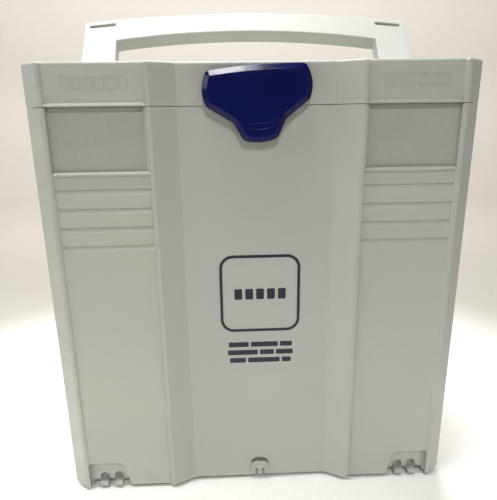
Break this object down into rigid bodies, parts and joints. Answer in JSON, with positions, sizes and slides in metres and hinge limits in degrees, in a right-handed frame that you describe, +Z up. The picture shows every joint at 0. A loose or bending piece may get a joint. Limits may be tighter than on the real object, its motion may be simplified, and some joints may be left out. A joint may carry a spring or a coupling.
{
  "type": "insulated sample transport box",
  "caption": "Stackable moulded transport box with hinged lid, folding carry handle, turning front latch, label holders and an insulating foam liner.",
  "frame": {"origin": "centre of the base plate's underside, on the surface that the box rests on", "axes": "+Z up, +X to the right of someone facing the front, the front with the latch looks towards -Y"},
  "size_m": [0.396, 0.3076, 0.4868],
  "materials": {
    "case_plastic": "satin light grey moulded plastic",
    "handle_plastic": "satin off-white moulded plastic",
    "latch_plastic": "glossy deep blue moulded plastic",
    "bush_plastic": "natural grey acetal",
    "card": "matt grey card",
    "liner_foam": "dark grey expanded foam",
    "seal_rubber": "black foam rubber",
    "steel": "zinc-plated steel"
  },
  "bodies": {
    "case_body": {"body_shell": "case_plastic", "body_liner": "liner_foam", "label_card_left": "card", "label_card_right": "card", "latch_keeper": "case_plastic", "hinge_pin_left": "steel", "hinge_pin_right": "steel"},
    "lid": {"lid_shell": "case_plastic", "lid_inner_panel": "case_plastic", "lid_panel_screws": "steel", "lid_seal": "seal_rubber", "lid_foam_pad": "liner_foam", "handle_pin_left": "steel", "handle_pin_right": "steel", "latch_axle": "steel", "latch_spring_washer": "steel"},
    "handle": {"carry_handle": "handle_plastic", "handle_bush_left": "bush_plastic", "handle_bush_right": "bush_plastic"},
    "latch": {"latch_lever": "latch_plastic", "latch_carrier": "bush_plastic", "latch_clip": "steel"}
  },
  "joints": [
    {"name": "lid_hinge", "type": "hinge", "parent": "case_body", "child": "lid", "pos_m": [0, 0.1535, 0.3845], "axis": [-1, 0, 0], "range_deg": [0, 100]},
    {"name": "handle_fold", "type": "hinge", "parent": "lid", "child": "handle", "pos_m": [0, -0.0201, 0.407], "axis": [1, 0, 0], "range_deg": [0, 129.3]},
    {"name": "latch_turn", "type": "hinge", "parent": "lid", "child": "latch", "pos_m": [0, -0.141, 0.4], "axis": [0, -1, 0], "range_deg": [-3.9, 176.1]}
  ]
}
